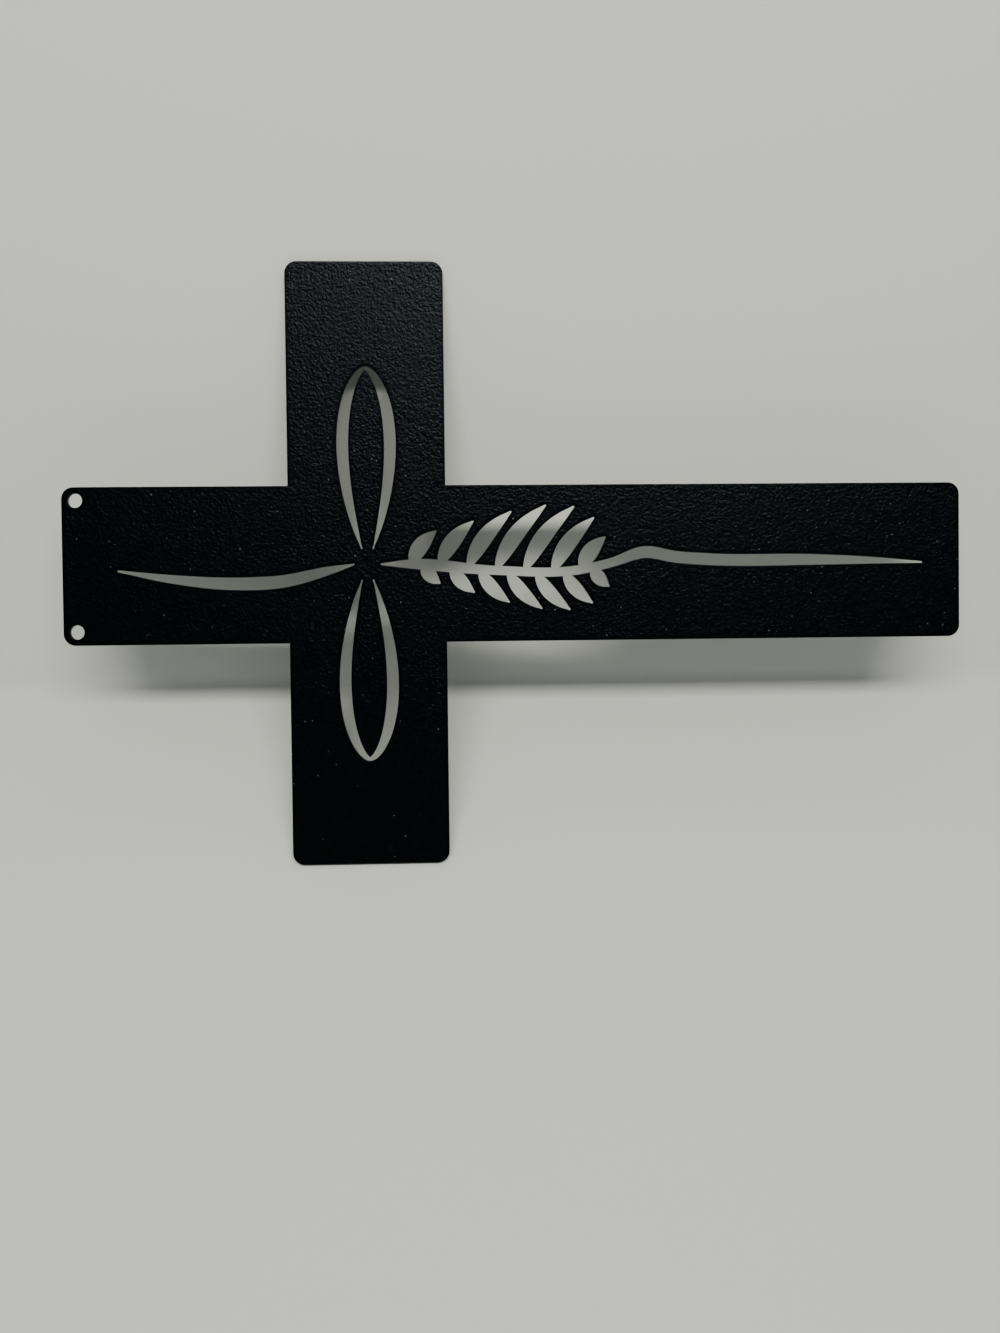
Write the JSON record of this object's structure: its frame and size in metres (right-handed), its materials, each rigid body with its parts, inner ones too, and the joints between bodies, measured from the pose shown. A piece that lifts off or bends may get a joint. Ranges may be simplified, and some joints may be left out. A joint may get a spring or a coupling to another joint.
{
  "type": "metal wall cross",
  "caption": "Flat sheet-steel wall cross in black powder coat, with cut-through loops, a leaf sprig and two hanging holes.",
  "frame": {"origin": "on the flat back face, midway between the two hanging holes in the head's corners", "axes": "+Z up towards the head of the cross as it hangs, -Y out of the decorated face, +Y into the wall, +X to the right as seen from the front. The picture shows the cross turned a quarter turn, with its head to the left, so the picture's right is -Z and the picture's up is +X"},
  "size_m": [0.2032, 0.0017, 0.3048],
  "materials": {
    "powder_coat": "fine-textured black powder coat on mild steel, low sheen"
  },
  "bodies": {
    "root": {"cross_plate": "powder_coat"}
  },
  "joints": []
}
